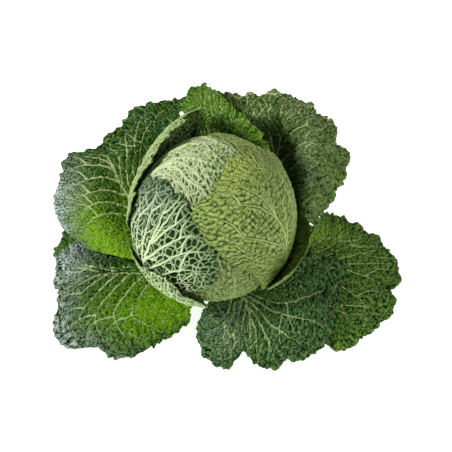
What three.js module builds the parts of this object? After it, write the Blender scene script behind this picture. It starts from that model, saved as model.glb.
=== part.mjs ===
// A savoy cabbage: a tight round head on a short cut stem, wrapped by loose
// head leaves and ringed by broad outer leaves. Every leaf is its own closed
// solid. Millimetres, +Z up, +X to the right, +Y to the back. The origin is
// the centre of the flat face where the stem was cut.
import * as THREE from 'three';

// Head: an ellipsoid that leans a little to the right, fuller above its
// middle than below it, where it sits on the crown of the stem.
const HEAD_CENTRE = new THREE.Vector3(0, 0, 110);
const HEAD_LEAN_DEG = 5;
const HEART_RADII = { x: 72, y: 76, above: 83, below: 67 };
const LAYER_STEP = 2.6;
const HEART_LIFT = -1;
const HEAD_LEAF_THICKNESS = 1.3;
const HEAD_LEAF_FOOT_HALF_ANGLE_DEG = 15;
const HEART_SEGMENTS = { around: 28, up: 20 };

// Stem: a short turned stump, cut flat below, that flares into the crown.
const STEM_RADIUS = 19;
const STEM_NECK_HEIGHT = 12;
const CROWN_RADIUS = 31;
const CROWN_HEIGHT = 41.4;
const STEM_SIDES = 32;

// Surface finish: colour and roughness of the pieces.
const STEM_FINISH = { colour: 0xd9dcb0, roughness: 0.7 };
const HEART_FINISH = { colour: 0xc3cf93, roughness: 0.55 };
const HEAD_LEAF_ROUGHNESS = 0.5;
const OUTER_LEAF_ROUGHNESS = 0.55;

// Outer leaves: thickness at the petiole, along the midrib and at the margin,
// and the share of the leaf's length over which the petiole thins.
const PETIOLE_THICKNESS = 5;
const MIDRIB_THICKNESS = 4;
const MARGIN_THICKNESS = 2.4;
const PETIOLE_GAP = 0.8;
const PETIOLE_SHARE = 1 / 3;
const CLEARANCE_BLEND = 0.05;

// Every leaf is a fan of 4 rings by 7 columns of control points. Ring 0 is
// the leaf's foot, ring 3 its rim. Column 3 is the midrib.
const COLUMNS = 7;
const MIDRIB_COLUMN = 3;
const LAST_RING = 3;
const LAST_COLUMN = COLUMNS - 1;
const STEPS_OUT = 9;
const STEPS_ACROSS = 18;

const HEAD_TURN = new THREE.Matrix4().makeRotationY(THREE.MathUtils.degToRad(HEAD_LEAN_DEG));
const HEAD_TURN_BACK = HEAD_TURN.clone().invert();

// Head leaves. A control point is [azimuth, elevation, lift]: its direction
// from the head's centre in degrees, and its height in mm over its layer.
const HEAD_LEAVES = {
  head_leaf_crown: {
    layer: 1, foot: [166, -60], colour: 0xb9c98a,
    rings: [
      [
        [110, -35, 0], [125, -22, 0], [145, -10, 0], [168, -2, 0],
        [176, -8, 0], [182, -15, 0], [186, -28, 0],
      ],
      [
        [75, 0, 0], [85, 30, 0], [110, 52, 0], [164, 58, 0],
        [184, 52, 0], [194, 36, 0], [198, 12, 0],
      ],
      [
        [60, 20, 0], [50, 50, 0], [10, 70, 0], [-84, 64, 0],
        [-126, 48, 0], [-150, 34, 0], [-162, 16, 0],
      ],
    ],
  },
  head_leaf_back: {
    layer: 2, foot: [45, -60], colour: 0x9db36a,
    rings: [
      [
        [10, -38, 0], [22, -28, 0], [34, -20, 0], [48, -16, 0],
        [62, -20, 0], [74, -28, 0], [84, -38, 0],
      ],
      [[2, -12, 0], [12, 12, 0], [30, 34, 0], [52, 38, 0], [74, 30, 0], [88, 10, 0], [95, -12, 0]],
      [[-2, 12, 0], [12, 42, 0], [38, 64, 0], [66, 62, 0], [93, 50, 0], [106, 28, 0], [108, 5, 0]],
    ],
  },
  head_leaf_front: {
    layer: 2, foot: [-76, -60], colour: 0x7f9a58,
    rings: [
      [
        [-100, -38, 0], [-90, -32, 1], [-79, -28, 1], [-74, -26, 1],
        [-69, -28, 1], [-64, -34, 1], [-60, -42, 0],
      ],
      [
        [-104, -22, 0], [-96, -6, 0], [-83, 10, 0], [-74, 16, 0],
        [-64, 10, 0], [-57, -4, 1], [-55, -22, 1],
      ],
      [
        [-104, -4, 0], [-98, 12, 0], [-88, 30, 0], [-74, 38, 0],
        [-58, 33, 0], [-47, 18, 0], [-50, -5, 1],
      ],
    ],
  },
  head_leaf_left: {
    layer: 3, foot: [-146, -60], colour: 0x55764a,
    rings: [
      [
        [-174, -38, 0], [-164, -28, 0], [-154, -20, 0], [-145, -16, 0],
        [-135, -18, 0], [-126, -24, 0], [-118, -32, 0],
      ],
      [
        [-190, -12, 0], [-176, 10, 0], [-158, 30, 0], [-138, 33, 0],
        [-120, 30, 0], [-106, 18, 0], [-102, -2, 0],
      ],
      [
        [-200, 8, 0], [-191, 34, 0], [-166, 55, 0], [-137, 56, 0],
        [-110, 50, 0], [-86, 38, 0], [-88, 10, 0],
      ],
    ],
  },
  head_leaf_low: {
    layer: 4, foot: [-118, -66], colour: 0x8fa56a,
    rings: [
      [
        [-145, -52, 1], [-138, -50, 1], [-130, -48, 2], [-120, -47, 2],
        [-110, -49, 2], [-104, -52, 1], [-98, -56, 1],
      ],
      [
        [-158, -36, 2], [-148, -29, 2], [-135, -24, 3], [-120, -21, 3],
        [-108, -26, 3], [-98, -32, 2], [-93, -42, 2],
      ],
      [
        [-166, -16, 3], [-152, -8, 4], [-138, 0, 4], [-121, 5, 4],
        [-108, -4, 4], [-97, -10, 4], [-91, -22, 3],
      ],
    ],
  },
  head_leaf_right: {
    layer: 4, foot: [-32, -60], colour: 0x96a65a,
    rings: [
      [
        [-48, -26, 0], [-45, -15, 0], [-38, -2, 0], [-30, 10, 0],
        [-15, 8, 0], [0, -5, 0], [10, -22, 0],
      ],
      [[-56, 0, 0], [-63, 20, 0], [-66, 42, 0], [-30, 58, 0], [2, 58, 0], [20, 40, 0], [28, 10, 0]],
      [
        [-60, 16, 1], [-82, 29, 1], [-117, 53, 0], [-100, 76, -2],
        [40, 80, -3], [42, 58, -1], [38, 28, 0],
      ],
    ],
  },
  loose_leaf_left: {
    layer: 4, foot: [140, -60], colour: 0xa9b97c,
    rings: [
      [
        [112, -38, 1], [122, -30, 2], [132, -24, 2], [144, -22, 2],
        [156, -24, 1], [168, -30, 0], [176, -40, 0],
      ],
      [
        [106, -12, 4], [112, 6, 8], [126, 20, 9], [145, 24, 5],
        [162, 20, 2], [176, 8, 1], [186, -8, 1],
      ],
      [
        [102, 12, 8], [102, 34, 20], [112, 46, 20], [136, 45, 10],
        [158, 40, 4], [174, 30, 3], [190, 12, 3],
      ],
    ],
  },
  loose_leaf_right: {
    layer: 5, foot: [-12, -60], colour: 0x7d9850,
    rings: [
      [
        [-38, -44, 1], [-33, -38, 1], [-24, -34, 1], [-12, -32, 1],
        [-1, -36, 1], [7, -42, 1], [13, -48, 1],
      ],
      [
        [-46, -20, 2], [-40, -12, 3], [-31, -7, 4], [-20, -5, 4],
        [-9, -8, 3], [0, -14, 2], [9, -24, 2],
      ],
      [
        [-52, 0, 7], [-44, 4, 12], [-33, 7, 15], [-20, 8, 16],
        [-8, 6, 14], [3, 0, 10], [12, -12, 5],
      ],
    ],
  },
};

// Outer leaves. A control point is [x, y, z]; the foot is [azimuth, height,
// half width] of the petiole's end against the crown. The clearance is how
// far the leaf keeps from the heart where it wraps the head.
const OUTER_LEAVES = {
  under_leaf_left: {
    foot: [176, 15.5, 9], clearance: 26, colour: 0x35552f,
    rings: [
      [
        [-62, 30, 16], [-68, 20, 16], [-72, 10, 15], [-74, 2, 15],
        [-73, -6, 15], [-70, -14, 15], [-64, -22, 15],
      ],
      [
        [-100, 60, 13], [-115, 45, 12], [-122, 30, 11], [-126, 14, 11],
        [-122, 0, 11], [-115, -14, 11], [-104, -28, 11],
      ],
      [
        [-120, 85, 6], [-150, 68, 5], [-167, 48, 6], [-174, 25, 8],
        [-168, 8, 6], [-152, -10, 4], [-130, -35, 4],
      ],
    ],
  },
  under_leaf_back: {
    foot: [104, 15.5, 9], clearance: 26, colour: 0x35552f,
    rings: [
      [
        [10, 62, 20], [0, 68, 20], [-10, 70, 20], [-20, 70, 20],
        [-30, 68, 20], [-40, 62, 20], [-48, 54, 20],
      ],
      [
        [22, 95, 24], [8, 105, 26], [-8, 110, 27], [-25, 110, 27],
        [-42, 106, 26], [-58, 96, 24], [-70, 82, 22],
      ],
      [
        [30, 115, 6], [12, 128, 4], [-8, 135, 5], [-30, 136, 5],
        [-52, 130, 4], [-72, 118, 4], [-88, 98, 6],
      ],
    ],
  },
  outer_leaf_front_left: {
    foot: [214, 21.5, 11], clearance: 22, colour: 0x4c7a2e,
    rings: [
      [
        [-77, -2, 24], [-85, -7, 25], [-89, -10, 26], [-82, -12, 24],
        [-66, -30, 26], [-46, -43, 26], [-21, -43, 26],
      ],
      [
        [-118, 16, 22], [-132, 0, 28], [-131, -12, 30], [-121, -15, 22],
        [-119, -56, 20], [-77, -72, 20], [-23, -54, 22],
      ],
      [
        [-145, 30, 14], [-164, 17, 18], [-168, -6, 16], [-164, -35, 12],
        [-158, -85, 5], [-89, -102, 4], [-24, -63, 10],
      ],
    ],
  },
  outer_leaf_right: {
    foot: [-5, 21.5, 11], clearance: 22, colour: 0x33532f,
    rings: [
      [
        [51, -51, 26], [60, -42, 30], [70, -26, 34], [80, -10, 38],
        [81, -2, 42], [79, 7, 44], [79, 16, 46],
      ],
      [
        [90, -67, 22], [116, -68, 24], [141, -53, 38], [135, -20, 60],
        [134, -2, 66], [118, 14, 64], [104, 22, 60],
      ],
      [
        [109, -80, 8], [144, -89, 5], [187, -54, 16], [196, -7, 34],
        [172, 16, 48], [143, 32, 56], [116, 42, 52],
      ],
    ],
  },
  outer_leaf_left: {
    foot: [146, 27.5, 11], clearance: 18, colour: 0x4a7a33,
    rings: [
      [
        [-45, 95, 95], [-62, 88, 85], [-76, 78, 70], [-88, 62, 55],
        [-90, 42, 47], [-86, 20, 41], [-68, -5, 36],
      ],
      [
        [-34, 108, 131], [-70, 111, 113], [-92, 97, 92], [-114, 96, 72],
        [-129, 67, 60], [-131, 40, 44], [-106, 3, 34],
      ],
      [
        [-24, 138, 130], [-80, 138, 110], [-123, 110, 82], [-155, 120, 56],
        [-173, 91, 34], [-172, 64, 22], [-150, 33, 22],
      ],
    ],
  },
  outer_leaf_front_right: {
    foot: [-60, 27.5, 11], clearance: 18, colour: 0x2f4d36,
    rings: [
      [
        [-1, -42, 30], [10, -45, 32], [20, -46, 34], [32, -48, 37],
        [46, -50, 45], [58, -49, 54], [68, -42, 62],
      ],
      [
        [-7, -67, 26], [4, -85, 30], [22, -87, 30], [40, -78, 30],
        [61, -79, 34], [89, -62, 56], [87, -20, 74],
      ],
      [
        [-7, -48, 14], [-13, -84, 6], [10, -115, 4], [35, -102, 8],
        [61, -115, 4], [117, -88, 18], [135, -24, 70],
      ],
    ],
  },
  outer_leaf_back_outer: {
    foot: [40, 27, 9], clearance: 18, colour: 0x3c5c38,
    rings: [
      [
        [80, 24, 52], [80, 57, 56], [76, 82, 66], [68, 104, 72],
        [49, 115, 75], [24, 119, 75], [2, 116, 75],
      ],
      [
        [94, 10, 86], [97, 54, 122], [93, 84, 142], [73, 102, 148],
        [51, 100, 148], [28, 99, 145], [4, 116, 135],
      ],
      [
        [106, 16, 70], [139, 74, 94], [128, 106, 118], [97, 129, 136],
        [64, 133, 142], [29, 134, 140], [-7, 142, 132],
      ],
    ],
  },
  outer_leaf_back_inner: {
    foot: [98, 34.5, 9], clearance: 14, colour: 0x4f8030,
    rings: [
      [
        [62, 78, 80], [46, 88, 85], [26, 95, 88], [8, 98, 90],
        [-8, 99, 92], [-24, 100, 95], [-38, 97, 98],
      ],
      [
        [54, 80, 112], [42, 84, 124], [24, 88, 145], [3, 94, 156],
        [-10, 104, 154], [-21, 104, 150], [-27, 98, 140],
      ],
      [
        [60, 74, 122], [50, 78, 150], [28, 96, 160], [1, 119, 166],
        [-13, 130, 160], [-30, 121, 152], [-31, 112, 140],
      ],
    ],
  },
};

function direction(azimuthDeg, elevationDeg) {
  const azimuth = THREE.MathUtils.degToRad(azimuthDeg);
  const elevation = THREE.MathUtils.degToRad(elevationDeg);
  const flat = Math.cos(elevation);
  return new THREE.Vector3(flat * Math.cos(azimuth), flat * Math.sin(azimuth), Math.sin(elevation));
}

// The head's surface in a direction, at a height over the heart.
function onHead(unit, lift) {
  const tall = unit.z > 0 ? HEART_RADII.above : HEART_RADII.below;
  const point = new THREE.Vector3(unit.x * HEART_RADII.x, unit.y * HEART_RADII.y, unit.z * tall);
  return point.addScaledVector(unit, lift).applyMatrix4(HEAD_TURN).add(HEAD_CENTRE);
}

// Moves a point that would run into the head out to its surface, smoothly.
function clearOfHead(point, clearance) {
  const local = point.clone().sub(HEAD_CENTRE).applyMatrix4(HEAD_TURN_BACK);
  const tall = local.z > 0 ? HEART_RADII.above : HEART_RADII.below;
  const level = Math.hypot(
    local.x / (HEART_RADII.x + clearance),
    local.y / (HEART_RADII.y + clearance),
    local.z / (tall + clearance),
  );
  const wanted = (level + 1 + Math.hypot(level - 1, CLEARANCE_BLEND)) / 2;
  return local.multiplyScalar(wanted / level).applyMatrix4(HEAD_TURN).add(HEAD_CENTRE);
}

// Catmull-Rom through rows of numbers, with the end points reflected.
function spline(rows, t) {
  const last = rows.length - 1;
  const i = Math.min(Math.floor(t), last - 1);
  const f = t - i;
  const before = (k) => 2 * rows[0][k] - rows[1][k];
  const after = (k) => 2 * rows[last][k] - rows[last - 1][k];
  return rows[0].map((_, k) => {
    const a = i > 0 ? rows[i - 1][k] : before(k);
    const b = rows[i][k];
    const c = rows[i + 1][k];
    const d = i < last - 1 ? rows[i + 2][k] : after(k);
    const curve = (2 * a - 5 * b + 4 * c - d) * f * f + (3 * b - a - 3 * c + d) * f * f * f;
    return 0.5 * (2 * b + (c - a) * f + curve);
  });
}

// A point of the fan: u runs 0 to 3 from foot to rim, v runs 0 to 6 across.
function fanPoint(net, u, v) {
  const across = net[0].map((_, column) => spline(net.map((ring) => ring[column]), u));
  return spline(across, v);
}

function headLeafNet(leaf) {
  const base = leaf.layer * LAYER_STEP;
  const pack = (unit, lift) => [unit.x, unit.y, unit.z, base + lift];
  const [azimuth, elevation] = leaf.foot;
  const foot = [];
  for (let column = 0; column < COLUMNS; column += 1) {
    const turn = (column / MIDRIB_COLUMN - 1) * HEAD_LEAF_FOOT_HALF_ANGLE_DEG;
    foot.push(pack(direction(azimuth + turn, elevation), 0));
  }
  const lifted = (point) => pack(direction(point[0], point[1]), point[2]);
  const rings = leaf.rings.map((ring) => ring.map(lifted));
  return [foot, ...rings];
}

function headLeafSurface(leaf) {
  const net = headLeafNet(leaf);
  return (u, v) => {
    const [x, y, z, lift] = fanPoint(net, u, v);
    return onHead(new THREE.Vector3(x, y, z).normalize(), lift);
  };
}

function crownRadiusAt(height) {
  const share = (height - STEM_NECK_HEIGHT) / (CROWN_HEIGHT - STEM_NECK_HEIGHT);
  return THREE.MathUtils.lerp(STEM_RADIUS, CROWN_RADIUS, THREE.MathUtils.clamp(share, 0, 1));
}

function outerLeafSurface(leaf) {
  const [azimuth, height, halfWidth] = leaf.foot;
  const radius = crownRadiusAt(height + PETIOLE_THICKNESS / 2) + PETIOLE_GAP;
  const outward = direction(azimuth, 0);
  const sideways = direction(azimuth + 90, 0);
  const foot = [];
  for (let column = 0; column < COLUMNS; column += 1) {
    const aside = (column / MIDRIB_COLUMN - 1) * halfWidth;
    const x = outward.x * radius + sideways.x * aside;
    const y = outward.y * radius + sideways.y * aside;
    foot.push([x, y, height]);
  }
  const net = [foot, ...leaf.rings];
  return (u, v) => clearOfHead(new THREE.Vector3(...fanPoint(net, u, v)), leaf.clearance);
}

// Thick at the petiole and along the midrib, thin at the margin.
function outerLeafThickness(u, v) {
  const out = Math.min(u / LAST_RING, 1);
  const aside = Math.min(Math.abs(v - MIDRIB_COLUMN) / MIDRIB_COLUMN, 1);
  const rib = THREE.MathUtils.lerp(MIDRIB_THICKNESS, MARGIN_THICKNESS, Math.max(aside, out));
  return THREE.MathUtils.lerp(PETIOLE_THICKNESS, rib, Math.min(out / PETIOLE_SHARE, 1));
}

// Turns a surface and its thickness into one closed solid.
function leafGeometry(surface, thickness) {
  const rowLength = STEPS_ACROSS + 1;
  const sideCount = (STEPS_OUT + 1) * rowLength;
  const positions = new Float32Array(sideCount * 6);
  const nudge = 0.02;
  for (let i = 0; i <= STEPS_OUT; i += 1) {
    for (let j = 0; j <= STEPS_ACROSS; j += 1) {
      const u = (LAST_RING * i) / STEPS_OUT;
      const v = (LAST_COLUMN * j) / STEPS_ACROSS;
      const middle = surface(u, v);
      const out = surface(Math.min(u + nudge, LAST_RING), v).sub(surface(Math.max(u - nudge, 0), v));
      const right = surface(u, Math.min(v + nudge, LAST_COLUMN));
      const across = right.sub(surface(u, Math.max(v - nudge, 0)));
      const half = out.cross(across).normalize().multiplyScalar(thickness(u, v) / 2);
      const vertex = i * rowLength + j;
      middle.clone().add(half).toArray(positions, vertex * 3);
      middle.clone().sub(half).toArray(positions, (sideCount + vertex) * 3);
    }
  }
  const faces = [];
  const quad = (a, b, c, d) => faces.push(a, b, c, a, c, d);
  for (let i = 0; i < STEPS_OUT; i += 1) {
    for (let j = 0; j < STEPS_ACROSS; j += 1) {
      const a = i * rowLength + j;
      const b = a + rowLength;
      quad(a, b, b + 1, a + 1);
      quad(sideCount + a, sideCount + a + 1, sideCount + b + 1, sideCount + b);
    }
  }
  const wall = (a, b) => quad(a, b, sideCount + b, sideCount + a);
  for (let j = 0; j < STEPS_ACROSS; j += 1) {
    wall(j, j + 1);
    wall(STEPS_OUT * rowLength + j + 1, STEPS_OUT * rowLength + j);
  }
  for (let i = 0; i < STEPS_OUT; i += 1) {
    wall((i + 1) * rowLength, i * rowLength);
    wall(i * rowLength + STEPS_ACROSS, (i + 1) * rowLength + STEPS_ACROSS);
  }
  const geometry = new THREE.BufferGeometry();
  geometry.setAttribute('position', new THREE.BufferAttribute(positions, 3));
  geometry.setIndex(faces);
  return geometry;
}

function heartGeometry() {
  const geometry = new THREE.SphereGeometry(1, HEART_SEGMENTS.around, HEART_SEGMENTS.up);
  geometry.rotateX(Math.PI / 2);
  const position = geometry.attributes.position;
  const unit = new THREE.Vector3();
  for (let i = 0; i < position.count; i += 1) {
    unit.fromBufferAttribute(position, i).normalize();
    const point = onHead(unit, HEART_LIFT);
    position.setXYZ(i, point.x, point.y, point.z);
  }
  return geometry;
}

function stemGeometry() {
  const profile = [
    new THREE.Vector2(0, 0),
    new THREE.Vector2(STEM_RADIUS, 0),
    new THREE.Vector2(STEM_RADIUS, STEM_NECK_HEIGHT),
    new THREE.Vector2(CROWN_RADIUS, CROWN_HEIGHT),
    new THREE.Vector2(0, CROWN_HEIGHT),
  ];
  const geometry = new THREE.LatheGeometry(profile, STEM_SIDES);
  geometry.rotateX(Math.PI / 2);
  return geometry;
}

function part(name, geometry, colour, roughness) {
  const material = new THREE.MeshStandardMaterial({ color: colour, roughness, metalness: 0 });
  const mesh = new THREE.Mesh(geometry, material);
  mesh.name = name;
  return mesh;
}

const cabbage = new THREE.Group();
cabbage.add(part('stem', stemGeometry(), STEM_FINISH.colour, STEM_FINISH.roughness));
cabbage.add(part('heart', heartGeometry(), HEART_FINISH.colour, HEART_FINISH.roughness));
for (const [name, leaf] of Object.entries(HEAD_LEAVES)) {
  const geometry = leafGeometry(headLeafSurface(leaf), () => HEAD_LEAF_THICKNESS);
  cabbage.add(part(name, geometry, leaf.colour, HEAD_LEAF_ROUGHNESS));
}
for (const [name, leaf] of Object.entries(OUTER_LEAVES)) {
  const geometry = leafGeometry(outerLeafSurface(leaf), outerLeafThickness);
  cabbage.add(part(name, geometry, leaf.colour, OUTER_LEAF_ROUGHNESS));
}

export default cabbage;
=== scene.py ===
"""A savoy cabbage: a crinkled head on a short cut stem, wrapped by veined head
leaves and ringed by broad blistered outer leaves. Lengths are in mm."""
import itertools
import math

import bpy
import numpy as np
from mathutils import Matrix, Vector


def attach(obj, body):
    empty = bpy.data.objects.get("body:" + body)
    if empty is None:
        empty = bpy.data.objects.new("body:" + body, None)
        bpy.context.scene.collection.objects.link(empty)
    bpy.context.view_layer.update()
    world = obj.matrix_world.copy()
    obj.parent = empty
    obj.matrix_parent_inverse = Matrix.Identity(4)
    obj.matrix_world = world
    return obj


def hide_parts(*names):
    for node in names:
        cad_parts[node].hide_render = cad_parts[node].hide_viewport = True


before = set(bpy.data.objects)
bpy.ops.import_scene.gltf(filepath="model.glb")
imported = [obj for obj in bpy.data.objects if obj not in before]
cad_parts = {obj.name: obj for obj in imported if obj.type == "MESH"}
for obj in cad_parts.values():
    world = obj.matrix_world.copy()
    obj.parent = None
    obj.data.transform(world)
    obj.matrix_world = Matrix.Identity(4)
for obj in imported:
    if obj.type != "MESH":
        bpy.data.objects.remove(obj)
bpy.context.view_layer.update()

MM = 0.001
ROOT = "root"

# Camera: looks down at the cabbage from the front.
CAMERA_ELEVATION = 57.0
CAMERA_DISTANCE = 1.15
CAMERA_AIM = Vector((0.014, -0.006, 0.106))
CAMERA_LENS = 91.6

# Head: a leaning ellipsoid, fuller above its middle than below, in mm.
HEAD_CENTRE = np.array([0.0, 0.0, 110.0])
HEAD_LEAN = math.radians(5.0)
HEART_RADII = (72.0, 76.0)
HEART_ABOVE = 83.0
HEART_BELOW = 67.0
LAYER_STEP = 2.6
HEART_LIFT = -2.0
HEART_GROOVE = 0.8
CLEARANCE_BLEND = 0.05
HEAD_FOOT_HALF_ANGLE = 15
HEAD_FOOT_THICKNESS = 2.4
HEAD_BLADE_THICKNESS = 1.0

# Stem and crown, in mm.
STEM_RADIUS = 19.0
STEM_NECK_HEIGHT = 12.0
CROWN_RADIUS = 31.0
CROWN_HEIGHT = 41.4
PETIOLE_THICKNESS = 5.0
PETIOLE_GAP = 0.8
OUTER_BLADE_THICKNESS = 1.2
FLOOR_GAP = 0.6
FLOOR_HALF_WIDTH = 9.0
BARK_GRAIN_RADIUS = 20.0

# Every leaf is a fan of control points: a foot and 3 rings, 7 columns each.
# Head leaf points are azimuth and elevation in degrees and lift in mm; outer
# leaf points are x, y and z in mm. An outer foot is azimuth, height, half width.
COLUMNS = 7
MIDRIB_COLUMN = 3
SPACING = 0.75
MOST_POINTS = 76000
RASTER = 0.6
FAR = 30.0
VEIN_REACH = 2.4

HEAD_LEAVES = {
    "head_leaf_crown": dict(layer=1, foot=(166, -60), rings=[
        [[110, -35, 0], [125, -22, 0], [145, -10, 0], [168, -2, 0], [176, -8, 0], [182, -15, 0],
         [186, -28, 0]],
        [[75, 0, 0], [85, 30, 0], [110, 52, 0], [164, 58, 0], [184, 52, 0], [194, 36, 0], [198, 12, 0]],
        [[60, 20, 0], [50, 50, 0], [10, 70, 0], [-84, 64, 0], [-126, 48, 0], [-150, 34, 0],
         [-162, 16, 0]]]),
    "head_leaf_back": dict(layer=2, foot=(45, -60), rings=[
        [[10, -38, 0], [22, -28, 0], [34, -20, 0], [48, -16, 0], [62, -20, 0], [74, -28, 0], [84, -38, 0]],
        [[2, -12, 0], [12, 12, 0], [30, 34, 0], [52, 38, 0], [74, 30, 0], [88, 10, 0], [95, -12, 0]],
        [[-2, 12, 0], [12, 42, 0], [38, 64, 0], [66, 62, 0], [93, 50, 0], [106, 28, 0], [108, 5, 0]]]),
    "head_leaf_front": dict(layer=2, foot=(-76, -60), rings=[
        [[-100, -38, 0], [-90, -32, 1], [-79, -28, 1], [-74, -26, 1], [-69, -28, 1], [-64, -34, 1],
         [-60, -42, 0]],
        [[-104, -22, 0], [-96, -6, 0], [-83, 10, 0], [-74, 16, 0], [-64, 10, 0], [-57, -4, 1],
         [-55, -22, 1]],
        [[-104, -4, 0], [-98, 12, 0], [-88, 30, 0], [-74, 38, 0], [-58, 33, 0], [-47, 18, 0],
         [-50, -5, 1]]]),
    "head_leaf_left": dict(layer=3, foot=(-146, -60), rings=[
        [[-174, -38, 0], [-164, -28, 0], [-154, -20, 0], [-145, -16, 0], [-135, -18, 0], [-126, -24, 0],
         [-118, -32, 0]],
        [[-190, -12, 0], [-176, 10, 0], [-158, 30, 0], [-138, 33, 0], [-120, 30, 0], [-106, 18, 0],
         [-102, -2, 0]],
        [[-200, 8, 0], [-191, 34, 0], [-166, 55, 0], [-137, 56, 0], [-110, 50, 0], [-86, 38, 0],
         [-88, 10, 0]]]),
    "head_leaf_low": dict(layer=4, foot=(-118, -66), rings=[
        [[-145, -52, 1], [-138, -50, 1], [-130, -48, 2], [-120, -47, 2], [-110, -49, 2], [-104, -52, 1],
         [-98, -56, 1]],
        [[-158, -36, 2], [-148, -29, 2], [-135, -24, 3], [-120, -21, 3], [-108, -26, 3], [-98, -32, 2],
         [-93, -42, 2]],
        [[-166, -16, 3], [-152, -8, 4], [-138, 0, 4], [-121, 5, 4], [-108, -4, 4], [-97, -10, 4],
         [-91, -22, 3]]]),
    "head_leaf_right": dict(layer=4, foot=(-32, -60), rings=[
        [[-48, -26, 0], [-45, -15, 0], [-38, -2, 0], [-30, 10, 0], [-15, 8, 0], [0, -5, 0], [10, -22, 0]],
        [[-56, 0, 0], [-63, 20, 0], [-66, 42, 0], [-30, 58, 0], [2, 58, 0], [20, 40, 0], [28, 10, 0]],
        [[-60, 16, 1], [-82, 29, 1], [-117, 53, 0], [-100, 76, -2], [40, 80, -3], [42, 58, -1],
         [38, 28, 0]]]),
    "loose_leaf_left": dict(layer=4, foot=(140, -60), rings=[
        [[112, -38, 1], [122, -30, 2], [132, -24, 2], [144, -22, 2], [156, -24, 1], [168, -30, 0],
         [176, -40, 0]],
        [[106, -12, 4], [112, 6, 8], [126, 20, 9], [145, 24, 5], [162, 20, 2], [176, 8, 1], [186, -8, 1]],
        [[102, 12, 8], [102, 34, 20], [112, 46, 20], [136, 45, 10], [158, 40, 4], [174, 30, 3],
         [190, 12, 3]]]),
    "loose_leaf_right": dict(layer=5, foot=(-12, -60), rings=[
        [[-38, -44, 1], [-33, -38, 1], [-24, -34, 1], [-12, -32, 1], [-1, -36, 1], [7, -42, 1],
         [13, -48, 1]],
        [[-46, -20, 2], [-40, -12, 3], [-31, -7, 4], [-20, -5, 4], [-9, -8, 3], [0, -14, 2], [9, -24, 2]],
        [[-52, 0, 7], [-44, 4, 12], [-33, 7, 15], [-20, 8, 16], [-8, 6, 14], [3, 0, 10], [12, -12, 5]]]),
}

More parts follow.
